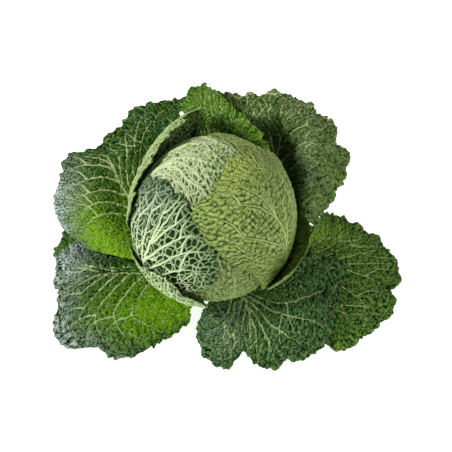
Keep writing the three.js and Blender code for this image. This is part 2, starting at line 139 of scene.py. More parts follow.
OUTER_LEAVES = {
    "under_leaf_left": dict(foot=(176, 15.5, 9), clearance=26, rings=[
        [[-62, 30, 16], [-68, 20, 16], [-72, 10, 15], [-74, 2, 15], [-73, -6, 15], [-70, -14, 15],
         [-64, -22, 15]],
        [[-100, 60, 13], [-115, 45, 12], [-122, 30, 11], [-126, 14, 11], [-122, 0, 11], [-115, -14, 11],
         [-104, -28, 11]],
        [[-120, 85, 6], [-150, 68, 5], [-167, 48, 6], [-174, 25, 8], [-168, 8, 6], [-152, -10, 4],
         [-130, -35, 4]]]),
    "under_leaf_back": dict(foot=(104, 15.5, 9), clearance=26, rings=[
        [[10, 62, 20], [0, 68, 20], [-10, 70, 20], [-20, 70, 20], [-30, 68, 20], [-40, 62, 20],
         [-48, 54, 20]],
        [[22, 95, 24], [8, 105, 26], [-8, 110, 27], [-25, 110, 27], [-42, 106, 26], [-58, 96, 24],
         [-70, 82, 22]],
        [[30, 115, 6], [12, 128, 4], [-8, 135, 5], [-30, 136, 5], [-52, 130, 4], [-72, 118, 4],
         [-88, 98, 6]]]),
    "outer_leaf_front_left": dict(foot=(214, 21.5, 11), clearance=22, rings=[
        [[-77, -2, 24], [-85, -7, 25], [-89, -10, 26], [-82, -12, 24], [-66, -30, 26], [-46, -43, 26],
         [-21, -43, 26]],
        [[-118, 16, 22], [-132, 0, 28], [-131, -12, 30], [-121, -15, 22], [-119, -56, 20], [-77, -72, 20],
         [-23, -54, 22]],
        [[-145, 30, 14], [-164, 17, 18], [-168, -6, 16], [-164, -35, 12], [-158, -85, 5], [-89, -102, 4],
         [-24, -63, 10]]]),
    "outer_leaf_right": dict(foot=(-5, 21.5, 11), clearance=22, rings=[
        [[51, -51, 26], [60, -42, 30], [70, -26, 34], [80, -10, 38], [81, -2, 42], [79, 7, 44],
         [79, 16, 46]],
        [[90, -67, 22], [116, -68, 24], [141, -53, 38], [135, -20, 60], [134, -2, 66], [118, 14, 64],
         [104, 22, 60]],
        [[109, -80, 8], [144, -89, 5], [187, -54, 16], [196, -7, 34], [172, 16, 48], [143, 32, 56],
         [116, 42, 52]]]),
    "outer_leaf_left": dict(foot=(146, 27.5, 11), clearance=18, rings=[
        [[-45, 95, 95], [-62, 88, 85], [-76, 78, 70], [-88, 62, 55], [-90, 42, 47], [-86, 20, 41],
         [-68, -5, 36]],
        [[-34, 108, 131], [-70, 111, 113], [-92, 97, 92], [-114, 96, 72], [-129, 67, 60], [-131, 40, 44],
         [-106, 3, 34]],
        [[-24, 138, 130], [-80, 138, 110], [-123, 110, 82], [-155, 120, 56], [-173, 91, 34], [-172, 64, 22],
         [-150, 33, 22]]]),
    "outer_leaf_front_right": dict(foot=(-60, 27.5, 11), clearance=18, rings=[
        [[-1, -42, 30], [10, -45, 32], [20, -46, 34], [32, -48, 37], [46, -50, 45], [58, -49, 54],
         [68, -42, 62]],
        [[-7, -67, 26], [4, -85, 30], [22, -87, 30], [40, -78, 30], [61, -79, 34], [89, -62, 56],
         [87, -20, 74]],
        [[-7, -48, 14], [-13, -84, 6], [10, -115, 4], [35, -102, 8], [61, -115, 4], [117, -88, 18],
         [135, -24, 70]]]),
    "outer_leaf_back_outer": dict(foot=(40, 27, 9), clearance=18, rings=[
        [[80, 24, 52], [80, 57, 56], [76, 82, 66], [68, 104, 72], [49, 115, 75], [24, 119, 75],
         [2, 116, 75]],
        [[94, 10, 86], [97, 54, 122], [93, 84, 142], [73, 102, 148], [51, 100, 148], [28, 99, 145],
         [4, 116, 135]],
        [[106, 16, 70], [139, 74, 94], [128, 106, 118], [97, 129, 136], [64, 133, 142], [29, 134, 140],
         [-7, 142, 132]]]),
    "outer_leaf_back_inner": dict(foot=(98, 34.5, 9), clearance=14, rings=[
        [[62, 78, 80], [46, 88, 85], [26, 95, 88], [8, 98, 90], [-8, 99, 92], [-24, 100, 95],
         [-38, 97, 98]],
        [[54, 80, 112], [42, 84, 124], [24, 88, 145], [3, 94, 156], [-10, 104, 154], [-21, 104, 150],
         [-27, 98, 140]],
        [[60, 74, 122], [50, 78, 150], [28, 96, 160], [1, 119, 166], [-13, 130, 160], [-30, 121, 152],
         [-31, 112, 140]]]),
}

# Main veins: the midrib's width in mm and how many pairs of side veins leave it.
VEINS = {
    "head_leaf_right": dict(width=2.8, pairs=3),
    "head_leaf_left": dict(width=3.0, pairs=4),
    "head_leaf_crown": dict(width=2.6, pairs=4),
    "outer_leaf_left": dict(width=4.6, pairs=5),
    "outer_leaf_front_left": dict(width=4.4, pairs=5),
    "outer_leaf_front_right": dict(width=4.0, pairs=5),
}
USUAL_VEINS = dict(width=3.6, pairs=4)
# Places on a leaf are shares: 0 to 1 across it, and 0 at its foot to 1 at its rim.
VEIN_SPREAD = 0.46
VEIN_STAGGER = 0.03
FIRST_SIDE_VEIN = 0.06
SIDE_VEIN_RUN = 0.55
SIDE_VEIN_END = 0.86
SIDE_VEIN_STEPS = (0, 0.3, 0.6, 1)
FORK_BEND = 0.03
FORK_ENDS = (0.1, 0.24)
SIDE_VEIN_WIDTH = 0.5
FORK_WIDTH = 0.36

# Colours are sRGB: throat, middle and rim of the blade, tint patches that are partly painted glow, veins,
# and dark, the painted shade of hollows and creases.
PALETTES = {
    "crown": ("fcfff4", "d8eab0", "4c7424", "b0cc6c", "ecf6cc", "284c0e"),
    "left_head": ("5c8c34", "1a4808", "225008", "4c7a2c", "e0f2c0", "041602"),
    "low": ("7c9a4a", "4c7a28", "426e26", "7c9c44", "d8ecb0", "14300a"),
    "right_head": ("9cb258", "80a042", "7c9c46", "b8c85c", "d8e490", "102c06"),
    "front_head": ("7c9c40", "567c2a", "507626", "8a9c44", "bccc7c", "0c2404"),
    "loose": ("5c8034", "4a7228", "446c24", "8aac48", "c8dc98", "102c06"),
    "left": ("4c9a04", "1a5208", "1e4e26", "94cc1c", "ccdca0", "041c02"),
    "front_left": ("549a06", "184c0a", "1e4a2a", "7cb408", "c8dc9c", "041c02"),
    # The lobe and back throats are darkened with painted shade, where these leaves stand behind the head.
    "lobe": ("2c5c1a", "447a20", "5c8c2c", "88b83c", "c0d48a", "0a2804"),
    "back": ("244c10", "2f5c1a", "4a702a", "a4c468", "dce8a8", "041c02"),
    "right": ("5a9a22", "386624", "3e6a28", "bcec5c", "c4dc88", "061c02"),
    "blue_green": ("2c5a16", "2f5c26", "325c2c", "7ca860", "c8e094", "021203"),
    # The under palette is lightened as painted light, since these leaves lie in the shade of the leaves
    # above.
    "under": ("5c8c2c", "4c8430", "4c7c3c", "7cac44", "a8c67c", "123808"),
}
# The bluish white of the waxy bloom, also used for painted glints and highlights.
BLOOM_AND_GLINT = "cfe2e0"

# Each leaf's finish. cells: sizes in mm of its coarse and fine cells. Tint patches (partly painted glow)
# and bloom patches (partly painted glints) are (across, out, size, strength). notches: (across, mm, width).
LOOKS = {
    "head_leaf_crown": dict(palette="crown", slot="pale_head_leaf", cells=(9.0, 5.2), net=0.9, dark=1.0,
                            bloom_and_glint=0.0, thin=0.15, puff=1.1, fade=0.3, main=0.45,
                            tint_and_glow=[(0.15, 0.75, 0.28, 0.8), (0.75, 0.55, 0.3, 0.25)]),
    "head_leaf_back": dict(palette="right_head", slot="head_leaf", cells=(9.0, 4.0), net=0.5, dark=0.7,
                           bloom_and_glint=0.0, thin=0.2, puff=0.9),
    "head_leaf_front": dict(palette="front_head", slot="head_leaf", cells=(8.5, 4.2), net=0.35, dark=1.0,
                            bloom_and_glint=0.0, thin=0.3, slits=1.2, main=0.5),
    "head_leaf_left": dict(palette="left_head", slot="dark_head_leaf", cells=(13.0, 7.0), net=0.95, dark=1.0,
                           bloom_and_glint=0.15, thin=0.2, puff=1.1, fade=0.6,
                           bloom_and_glint_spots=[(0.3, 0.8, 0.16, 0.8)]),
    "head_leaf_low": dict(palette="low", slot="pale_head_leaf", cells=(9.0, 4.6), net=0.9, dark=1.0,
                          bloom_and_glint=0.1, thin=0.2, puff=0.9),
    "head_leaf_right": dict(palette="right_head", slot="head_leaf", cells=(10.0, 4.8), net=0.2, dark=1.0,
                            bloom_and_glint=0.0, thin=0.45, slits=1.0, tint_and_glow=[(0.62, 0.97, 0.16, 0.9)], lift=1.6,
                            frill=1.2, main=0.9),
    "loose_leaf_left": dict(palette="loose", slot="pale_head_leaf", cells=(8.0, 4.6), net=0.8, dark=1.0,
                            bloom_and_glint=0.0, thin=0.15, puff=1.1, jagged=2.4, frill=1.4),
    "loose_leaf_right": dict(palette="front_head", slot="head_leaf", cells=(8.0, 3.6), net=0.5, dark=0.9,
                             bloom_and_glint=0.0, thin=0.2, puff=0.9, jagged=1.8),
    "under_leaf_left": dict(palette="under", slot="dark_outer_leaf", cells=(9.0, 4.0), bloom_and_glint=0.3),
    "under_leaf_back": dict(palette="under", slot="dark_outer_leaf", cells=(9.0, 4.0), bloom_and_glint=0.3),
    "outer_leaf_front_left": dict(palette="front_left", slot="bright_outer_leaf", cells=(9.0, 4.0),
                                  bloom_and_glint=1.0, tint_and_glow=[(0.9, 0.45, 0.28, 1.0), (0.97, 0.7, 0.18, 0.9)],
                                  bloom_and_glint_spots=[(0.25, 1.05, 0.22, 1.1), (0.62, 1.05, 0.14, 1.0)], crest_highlight=0.25,
                                  notches=[(0.75, 13.0, 0.03), (0.5, 3.0, 0.03), (0.2, 3.0, 0.03)]),
    # The first tint patch is painted light, where the head's shadow falls on this leaf.
    "outer_leaf_right": dict(palette="right", slot="dark_outer_leaf", cells=(9.0, 4.0), bloom_and_glint=0.25,
                             tint_and_glow=[(0.97, 0.45, 0.3, 1.0), (0.04, 0.9, 0.14, 0.15)], crest_highlight=0.22,
                             nets=[(0.3, 1.0, 0.2, 0.6), (0.6, 1.0, 0.15, 0.6)],
                             notches=[(0.4, 8.0, 0.025), (0.57, 4.0, 0.02), (0.2, 3.0, 0.03)]),
    "outer_leaf_left": dict(palette="left", slot="bright_outer_leaf", cells=(9.0, 3.8), bloom_and_glint=1.0,
                            tint_and_glow=[(0.97, 0.6, 0.24, 1.0), (0.6, 0.3, 0.2, 0.3)],
                            bloom_and_glint_spots=[(0.76, 1.04, 0.16, 1.1), (0.9, 1.02, 0.1, 1.0)], crest_highlight=0.25,
                            notches=[(0.37, 5.0, 0.02), (0.83, 4.0, 0.03), (0.22, 3.0, 0.02)]),
    "outer_leaf_front_right": dict(palette="blue_green", slot="dark_outer_leaf", cells=(9.0, 4.0), bloom_and_glint=0.5,
                                   bloom_and_glint_spots=[(0.2, 0.55, 0.25, 0.35)],
                                   notches=[(0.47, 7.0, 0.03), (0.72, 6.0, 0.03), (0.87, 4.0, 0.02)]),
    "outer_leaf_back_outer": dict(palette="back", slot="dark_outer_leaf", cells=(9.0, 4.6), bloom_and_glint=0.35,
                                  thin=0.3, crest_highlight=0.25, main=0.9,
                                  tint_and_glow=[(0.12, 0.9, 0.2, 0.25)], bloom_and_glint_spots=[(0.25, 0.62, 0.12, 0.3)],
                                  nets=[(0.45, 1.0, 0.25, 0.9), (0.72, 1.0, 0.25, 0.9)],
                                  notches=[(0.27, 12.0, 0.03), (0.42, 3.0, 0.02), (0.1, 3.0, 0.02)]),
    "outer_leaf_back_inner": dict(palette="lobe", slot="bright_outer_leaf", cells=(9.0, 4.0), bloom_and_glint=0.1,
                                  tint_and_glow=[(0.2, 0.9, 0.25, 0.7)], notches=[(0.8, 4.0, 0.03)]),
}
# What an outer leaf has where its own entry doesn't say.
OUTER_LOOK = dict(net=0.38, dark=1.0, thin=0.6, puff=2.5, main=0.85, crest_highlight=0.45)

# Irregular puffs between the veins, as (size in mm, height).
SLIT_PUFFS = ((5.2, 0.7), (3.2, 0.8), (1.9, 0.5))
OUTER_PUFFS = ((5.0, 0.7), (2.8, 0.8), (1.7, 0.8))


# ---------------------------------------------------------------- noise
def hashed(cells, seed):
    """A repeatable number from 0 to 1 for each row of whole numbers."""
    mixed = np.full(cells.shape[:-1], (seed * 0x27D4EB2F) & 0xFFFFFFFF, np.uint32)
    for axis, factor in enumerate((0x9E3779B1, 0x85EBCA77, 0xC2B2AE3D)[:cells.shape[-1]]):
        mixed ^= cells[..., axis].astype(np.int64).astype(np.uint32) * np.uint32(factor)
        mixed ^= mixed >> np.uint32(15)
        mixed *= np.uint32(0x2C1B3C6D)
        mixed ^= mixed >> np.uint32(12)
        mixed *= np.uint32(0x297A2D39)
    mixed ^= mixed >> np.uint32(15)
    return mixed / 4294967296.0


def noise(points, size, seed):
    """Smooth noise from -1 to 1 in any number of dimensions."""
    scaled = points / size
    whole = np.floor(scaled)
    part = scaled - whole
    part = part * part * (3 - 2 * part)
    total = np.zeros(points.shape[:-1])
    for corner in itertools.product((0, 1), repeat=points.shape[-1]):
        corner = np.array(corner)
        weight = np.prod(np.where(corner, part, 1 - part), axis=-1)
        total += weight * hashed(whole + corner, seed)
    return total * 2 - 1


def cell_edges(points, size, seed):
    """Distance in mm to the nearest edge between cells of about this size,
    and a random number per cell."""
    scaled = points / size
    whole = np.floor(scaled)
    near = np.full(points.shape[:-1], 1e9)
    second = near.copy()
    near_at = np.zeros_like(scaled)
    second_at = np.zeros_like(scaled)
    name = np.zeros(points.shape[:-1])
    for step in itertools.product((-1, 0, 1), repeat=2):
        cell = whole + np.array(step)
        jitter = np.stack([hashed(cell, seed), hashed(cell, seed + 1)], -1)
        place = cell + 0.5 + 0.85 * (jitter - 0.5)
        apart = ((place - scaled) ** 2).sum(-1)
        closer = apart < near
        middle = ~closer & (apart < second)
        second = np.where(closer, near, np.where(middle, apart, second))
        second_at = np.where(closer[..., None], near_at, np.where(middle[..., None], place, second_at))
        name = np.where(closer, hashed(cell, seed + 2), name)
        near_at = np.where(closer[..., None], place, near_at)
        near = np.where(closer, apart, near)
    between = np.linalg.norm(second_at - near_at, axis=-1) + 1e-9
    return (second - near) / (2 * between) * size, name


# ---------------------------------------------------------------- surfaces
def direction(azimuth, elevation):
    azimuth = np.radians(azimuth)
    elevation = np.radians(elevation)
    flat = np.cos(elevation)
    return np.stack([flat * np.cos(azimuth), flat * np.sin(azimuth), np.sin(elevation) + 0 * azimuth], -1)


def lean(points, sign=1):
    c = math.cos(HEAD_LEAN)
    s = math.sin(HEAD_LEAN) * sign
    x, y, z = points[..., 0], points[..., 1], points[..., 2]
    return np.stack([c * x + s * z, y, c * z - s * x], -1)


def radii_at(z, grow=0.0):
    tall = np.where(z > 0, HEART_ABOVE, HEART_BELOW)
    wide, deep = (np.full_like(tall, radius) for radius in HEART_RADII)
    return np.stack([wide, deep, tall], -1) + grow


def on_head(unit, lift):
    """The head's surface in a direction, at a height in mm over the heart."""
    return lean(unit * (radii_at(unit[..., 2]) + lift[..., None])) + HEAD_CENTRE


def clear_of_head(points, clearance):
    """Moves points that would run into the head out to its surface."""
    local = lean(points - HEAD_CENTRE, -1)
    level = np.linalg.norm(local / radii_at(local[..., 2], clearance), axis=-1)
    wanted = (level + 1 + np.hypot(level - 1, CLEARANCE_BLEND)) / 2
    return lean(local * (wanted / level)[..., None]) + HEAD_CENTRE


def spline_weights(t, count):
    """Catmull-Rom weights of the control points, their ends reflected."""
    whole = np.clip(np.floor(t).astype(int), 0, count - 2)
    f = t - whole
    basis = (-f + 2 * f**2 - f**3, 2 - 5 * f**2 + 3 * f**3, f + 4 * f**2 - 3 * f**3, f**3 - f**2)
    weights = np.zeros((len(t), count + 2))
    rows = np.arange(len(t))
    for k in range(4):
        weights[rows, whole + k] += basis[k] / 2
    weights[:, 1] += 2 * weights[:, 0]
    weights[:, 2] -= weights[:, 0]
    weights[:, -2] += 2 * weights[:, -1]
    weights[:, -3] -= weights[:, -1]
    return weights[:, 1:-1]


def head_net(leaf):
    base = leaf["layer"] * LAYER_STEP
    columns = np.arange(COLUMNS) / MIDRIB_COLUMN - 1
    foot = direction(leaf["foot"][0] + HEAD_FOOT_HALF_ANGLE * columns, np.full(COLUMNS, leaf["foot"][1]))
    foot = np.concatenate([foot, np.full((COLUMNS, 1), base)], 1)
    rings = np.array(leaf["rings"], float)
    rings = np.concatenate([direction(rings[..., 0], rings[..., 1]), rings[..., 2:] + base], -1)
    return np.concatenate([foot[None], rings])


def outer_net(leaf):
    azimuth, height, half_width = leaf["foot"]
    share = (height + PETIOLE_THICKNESS / 2 - STEM_NECK_HEIGHT) / (CROWN_HEIGHT - STEM_NECK_HEIGHT)
    radius = STEM_RADIUS + (CROWN_RADIUS - STEM_RADIUS) * min(max(share, 0), 1) + PETIOLE_GAP
    outward = direction(np.array(azimuth), np.array(0))
    sideways = direction(np.array(azimuth + 90), np.array(0))
    columns = np.arange(COLUMNS)[:, None] / MIDRIB_COLUMN - 1
    foot = outward * radius + sideways * columns * half_width + np.array([0, 0, height])
    return np.concatenate([foot[None], np.array(leaf["rings"], float)])


def leaf_surface(leaf, rows, columns):
    """Points of the leaf's middle surface for shares of the way out and across."""
    head = "layer" in leaf
    net = head_net(leaf) if head else outer_net(leaf)
    across = spline_weights(columns * (COLUMNS - 1), COLUMNS)
    outward = spline_weights(rows * 3, 4)
    fan = np.einsum("ir,jc,rck->ijk", outward, across, net)
    if head:
        unit = fan[..., :3] / np.linalg.norm(fan[..., :3], axis=-1, keepdims=True)
        return on_head(unit, fan[..., 3])
    return clear_of_head(fan, leaf["clearance"])


def tangents(points):
    out = np.gradient(points, axis=0)
    across = np.gradient(points, axis=1)
    out /= np.linalg.norm(out, axis=-1, keepdims=True) + 1e-9
    across /= np.linalg.norm(across, axis=-1, keepdims=True) + 1e-9
    normal = np.cross(out, across)
    normal /= np.linalg.norm(normal, axis=-1, keepdims=True) + 1e-9
    return out, across, normal


def run_lengths(points, axis):
    steps = np.linalg.norm(np.diff(points, axis=axis), axis=-1)
    start = np.zeros_like(np.take(steps, [0], axis=axis))
    return np.cumsum(np.concatenate([start, steps], axis=axis), axis=axis)


class Flat:
    """A leaf laid flat: distance from the foot and angle from the midrib."""

    def __init__(self, points):
        out = run_lengths(points, 0)
        steps = np.linalg.norm(np.diff(points, axis=1), axis=-1)
        widths = steps.sum(1)
        rows = np.arange(len(points)) / (len(points) - 1)
        far = rows > 0.35
        self.start = widths[0] / max((widths[far] / out.mean(1)[far]).mean(), 0.3)
        radius = out + self.start
        middle = (radius[:, 1:] + radius[:, :-1]) / 2
        turns = (steps[far] / middle[far]).mean(0)
        angle = np.concatenate([[0], np.cumsum(turns)])
        self.angle = angle - np.interp(0.5, np.linspace(0, 1, len(angle)), angle)
        self.radius = radius
        self.rim = radius[-1]
        self.x = radius * np.sin(self.angle)
        self.y = radius * np.cos(self.angle) - self.start
        side = np.minimum(run_lengths(points, 1), run_lengths(points[:, ::-1], 1)[:, ::-1])
        self.margin = np.minimum(self.rim - radius, side)

    def place(self, across, out):
        """Flat x and y at shares across and out of the leaf."""
        row = out * (len(self.radius) - 1)
        column = across * (len(self.angle) - 1)
        i = min(int(row), len(self.radius) - 2)
        j = min(int(column), len(self.angle) - 2)
        fi, fj = row - i, column - j
        weights = np.array([[(1 - fi) * (1 - fj), (1 - fi) * fj], [fi * (1 - fj), fi * fj]])
        part = (slice(i, i + 2), slice(j, j + 2))
        return (self.x[part] * weights).sum(), (self.y[part] * weights).sum()


# ---------------------------------------------------------------- veins
def vein_paths(width, pairs):
    """Each vein's width and its points, as shares across the leaf and out along
    it: the midrib, side veins that bend away from it, and a fork on each."""
    paths = [(width, [(0.5, 0.0), (0.5, 0.35), (0.49, 0.65), (0.5, 0.96)])]
    for pair in range(pairs):
        order = (pair + 0.5) / pairs
        reach = VEIN_SPREAD * (1 - order) ** 0.8
        end = SIDE_VEIN_END + 0.1 * order
        for side in (-1, 1):
            start = FIRST_SIDE_VEIN + SIDE_VEIN_RUN * order + VEIN_STAGGER * side
            path = []
            for step in SIDE_VEIN_STEPS:
                path.append((0.5 + side * reach * step**0.8, start + (end - start) * step))
            paths.append((SIDE_VEIN_WIDTH * width, path))
            across, out = path[2]
            fork = [(across - side * FORK_BEND, out + further) for further in FORK_ENDS]
            paths.append((FORK_WIDTH * width, [path[2]] + fork))
    return paths


def main_veins(name, flat, rng):
    """Each main vein as flat points (x, y, width), slightly wavy and tapering."""
    found = []
    for width, path in vein_paths(**VEINS.get(name, USUAL_VEINS)):
        knots = np.array([flat.place(across, out) for across, out in path])
        length = np.hypot(*np.diff(knots, axis=0).T).sum()
        share = np.linspace(0, 1, max(int(length / 2.0), 4))
        points = spline_weights(share * (len(knots) - 1), len(knots)) @ knots
        wave = rng.normal(0, 0.35, points.shape)
        wave[1:-1] = (wave[:-2] + wave[1:-1] + wave[2:]) / 2
        found.append(np.column_stack([points + wave, 0.55 * width * (1 - 0.9 * share) - 0.5 * share**3]))
    return found


class Raster:
    """Distances to veins on a fine flat grid, read back at any point."""

    def __init__(self, flat):
        self.low = np.array([flat.x.min(), flat.y.min()]) - 2
        size = np.array([flat.x.max(), flat.y.max()]) + 2 - self.low
        self.shape = np.ceil(size / RASTER).astype(int) + 1

    def distances(self, veins, reach):
        """Distance to the nearest vein's edge, up to reach."""
        grid = np.full(self.shape, reach)
        for vein in veins:
            for a, b in zip(vein[:-1], vein[1:]):
                low = np.minimum(a[:2], b[:2]) - reach
                high = np.maximum(a[:2], b[:2]) + reach
                i0, j0 = np.clip(((low - self.low) / RASTER).astype(int), 0, self.shape - 1)
                i1, j1 = np.clip(((high - self.low) / RASTER).astype(int) + 2, 1, self.shape)
                x = (np.arange(i0, i1) * RASTER + self.low[0])[:, None] - a[0]
                y = (np.arange(j0, j1) * RASTER + self.low[1])[None, :] - a[1]
                dx, dy = b[0] - a[0], b[1] - a[1]
                share = np.clip((x * dx + y * dy) / (dx * dx + dy * dy + 1e-9), 0, 1)
                apart = np.hypot(x - share * dx, y - share * dy) - (a[2] + (b[2] - a[2]) * share) / 2
                part = grid[i0:i1, j0:j1]
                np.minimum(part, apart, out=part)
        return grid

    def read(self, grid, x, y):
        fx = np.clip((x - self.low[0]) / RASTER, 0, self.shape[0] - 1.001)
        fy = np.clip((y - self.low[1]) / RASTER, 0, self.shape[1] - 1.001)
        i, j = fx.astype(int), fy.astype(int)
        fx, fy = fx - i, fy - j
        near = grid[i, j] * (1 - fy) + grid[i, j + 1] * fy
        far = grid[i + 1, j] * (1 - fy) + grid[i + 1, j + 1] * fy
        return near * (1 - fx) + far * fx


# ---------------------------------------------------------------- leaves
def leaf_grid(leaf, spacing):
    """Row and column shares whose steps are about the spacing in mm."""
    coarse = leaf_surface(leaf, np.linspace(0, 1, 31), np.linspace(0, 1, 61))
    long = run_lengths(coarse, 0)[-1].max()
    wide = run_lengths(coarse, 1)[:, -1].max()
    spacing = max(spacing, math.sqrt(long * wide / MOST_POINTS))
    rows = 2 * int(long / spacing / 2) + 1
    columns = 2 * int(wide / spacing / 2) + 1
    return np.linspace(0, 1, rows), np.linspace(0, 1, columns)


def shape_margin(points, columns, rows, look, seed):
    """Moves the rim and the side margins in and out: lobes, teeth and notches."""
    jagged = look.get("jagged", 1.0)
    out, across, _ = tangents(points)
    place = np.stack([run_lengths(points, 1)[-1], np.zeros(len(columns))], -1)
    reach = jagged * (2.0 * noise(place, 22.0, seed) + 2.2 * noise(place, 9.0, seed + 1))
    reach += jagged * (2.0 * noise(place, 4.0, seed + 2) + 1.0 * noise(place, 2.0, seed + 3))
    for middle, depth, width in look.get("notches", []):
        reach -= depth * np.exp(-((columns - middle) / width) ** 2)
    rim = (rows**5)[:, None] * reach
    side_place = np.stack([run_lengths(points, 0)[:, 0], np.zeros(len(rows))], -1)
    grown = np.clip(rows * 4 - 1, 0, 1)[:, None]
    sides = np.zeros(points.shape[:2])
    for side, near in ((-1, 1 - columns), (1, columns)):
        teeth = 1.6 * noise(side_place, 12.0, seed + 4 + side)
        teeth = teeth + 1.5 * noise(side_place, 4.0, seed + 7 + side)
        sides += side * jagged * teeth[:, None] * near**16 * grown
    return points + out * rim[..., None] + across * sides[..., None]


def dome(distance, width):
    return 1 - np.exp(-((np.maximum(distance, 0) / width) ** 2))


def blister(distance, width):
    """A round top that falls to a sharp groove."""
    return 1 - np.exp(-np.maximum(distance, 0) / width)


def line(distance, width):
    return np.exp(-((np.maximum(distance, 0) / width) ** 2))


def spots(marks, rows, columns):
    """The strongest of the patches at each point, 0 to 1."""
    total = np.zeros((len(rows), len(columns)))
    for across, out, size, strength in marks:
        apart = np.hypot((columns - across)[None, :], (rows - out)[:, None] * 0.8) / size
        total = np.maximum(total, strength * np.exp(-apart**2))
    return total


def smoothed(field, reach):
    """The field averaged over squares of the grid, reach points each way."""
    for axis in (0, 1):
        edge = [(0, 0), (0, 0)]
        edge[axis] = (reach + 1, reach)
        total = np.cumsum(np.pad(field, edge, mode="edge"), axis=axis)
        width = 2 * reach + 1
        length = field.shape[axis]
        above = np.take(total, np.arange(width, width + length), axis=axis)
        below = np.take(total, np.arange(length), axis=axis)
        field = (above - below) / width
    return field


def creased(spot, size, seed):
    """Irregular puffs with sharp creases between them, 0 to about 1."""
    return np.minimum(np.abs(noise(spot, size, seed)) * 2.2, 1.0) ** 0.8


def puffed(spot, puffs, seed):
    """Puffs of several sizes added together."""
    total = 0.0
    for number, (size, height) in enumerate(puffs):
        total = total + height * creased(spot, size, seed + number)
    return total


